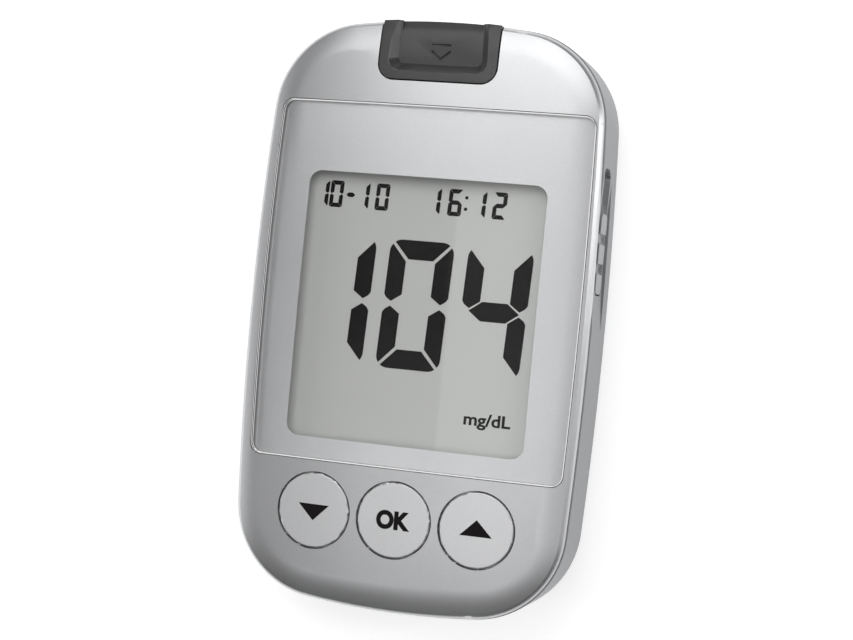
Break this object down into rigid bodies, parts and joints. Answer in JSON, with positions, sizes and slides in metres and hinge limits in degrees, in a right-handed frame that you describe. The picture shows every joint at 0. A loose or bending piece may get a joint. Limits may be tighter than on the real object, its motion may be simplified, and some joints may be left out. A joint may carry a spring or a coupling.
{
  "type": "blood glucose meter",
  "caption": "Handheld blood glucose meter: rounded slab case with a large flush display window, a row of round keys, a strip port at one end and a sliding strip ejector on the side.",
  "frame": {"origin": "centre of the case outline on the flat back face that it lies on", "axes": "+Z out of the display, +Y along the case towards the strip port, +X to the right as the display is read, which is the side of the ejector knob"},
  "size_m": [0.0566, 0.095, 0.022],
  "materials": {
    "silver_paint": "satin silver paint on ABS",
    "dark_plastic": "fine matt texture, mid-grey ABS",
    "clear_lens": "clear hard-coated window",
    "silver_print": "silver ink on the back of the window",
    "black_tape": "black adhesive foam tape",
    "lcd_film": "grey-green polarising film",
    "lcd_glass": "display glass",
    "lcd_reflector": "grey-green reflector film",
    "white_plastic": "white moulded plastic",
    "grey_rubber": "layered elastomer",
    "green_board": "green solder mask",
    "black_epoxy": "black moulded epoxy",
    "ceramic": "tan ceramic",
    "switch_metal": "stamped metal cover",
    "key_plastic": "satin silver paint with black printed symbols",
    "port_plastic": "dark grey moulded plastic",
    "gold_contact": "gold-plated spring contact",
    "slider_plastic": "grey moulded plastic",
    "spring_steel": "nickel-plated spring steel",
    "cell_wrap": "plain printed cell sleeve",
    "screw_steel": "blackened steel",
    "bare_label": "bare paper label"
  },
  "bodies": {
    "case": {"back_cover": "dark_plastic", "battery_left": "cell_wrap", "battery_plates": "spring_steel", "battery_right": "cell_wrap", "battery_springs": "spring_steel", "board_chips": "black_epoxy", "board_passives": "ceramic", "buzzer": "black_epoxy", "case_screws": "screw_steel", "display_lens": "clear_lens", "ejector_spring": "spring_steel", "front_cover": "silver_paint", "key_switches": "switch_metal", "lcd_frame": "white_plastic", "lcd_front_glass": "lcd_glass", "lcd_polariser": "lcd_film", "lcd_rear_glass": "lcd_glass", "lcd_reflector": "lcd_reflector", "lens_print": "silver_print", "lens_tape": "black_tape", "main_board": "green_board", "rating_label": "bare_label", "strip_connector": "black_epoxy", "strip_contacts": "gold_contact", "strip_port": "port_plastic", "zebra_strips": "grey_rubber"},
    "key_down": {"button_down": "key_plastic", "plunger_down": "black_epoxy"},
    "key_ok": {"button_ok": "key_plastic", "plunger_ok": "black_epoxy"},
    "key_up": {"button_up": "key_plastic", "plunger_up": "black_epoxy"},
    "slider": {"eject_slider": "slider_plastic", "ejector_arm": "white_plastic"},
    "door": {"battery_door": "dark_plastic"}
  },
  "joints": [
    {"name": "press_down", "type": "slide", "parent": "case", "child": "key_down", "axis": [0, 0, -1], "range_m": [0, 0.0005], "stiffness_N_per_m": 1200, "springref_m": -0.0005},
    {"name": "press_ok", "type": "slide", "parent": "case", "child": "key_ok", "axis": [0, 0, -1], "range_m": [0, 0.0005], "stiffness_N_per_m": 1200, "springref_m": -0.0005},
    {"name": "press_up", "type": "slide", "parent": "case", "child": "key_up", "axis": [0, 0, -1], "range_m": [0, 0.0005], "stiffness_N_per_m": 1200, "springref_m": -0.0005},
    {"name": "eject_slide", "type": "slide", "parent": "case", "child": "slider", "axis": [0, 1, 0], "range_m": [0, 0.007], "stiffness_N_per_m": 150, "springref_m": -0.002, "deforming": ["ejector_spring"]},
    {"name": "door_hinge", "type": "hinge", "parent": "case", "child": "door", "pos_m": [0, 0.0111, 0.0012], "axis": [1, 0, 0], "range_deg": [0, 90]}
  ]
}
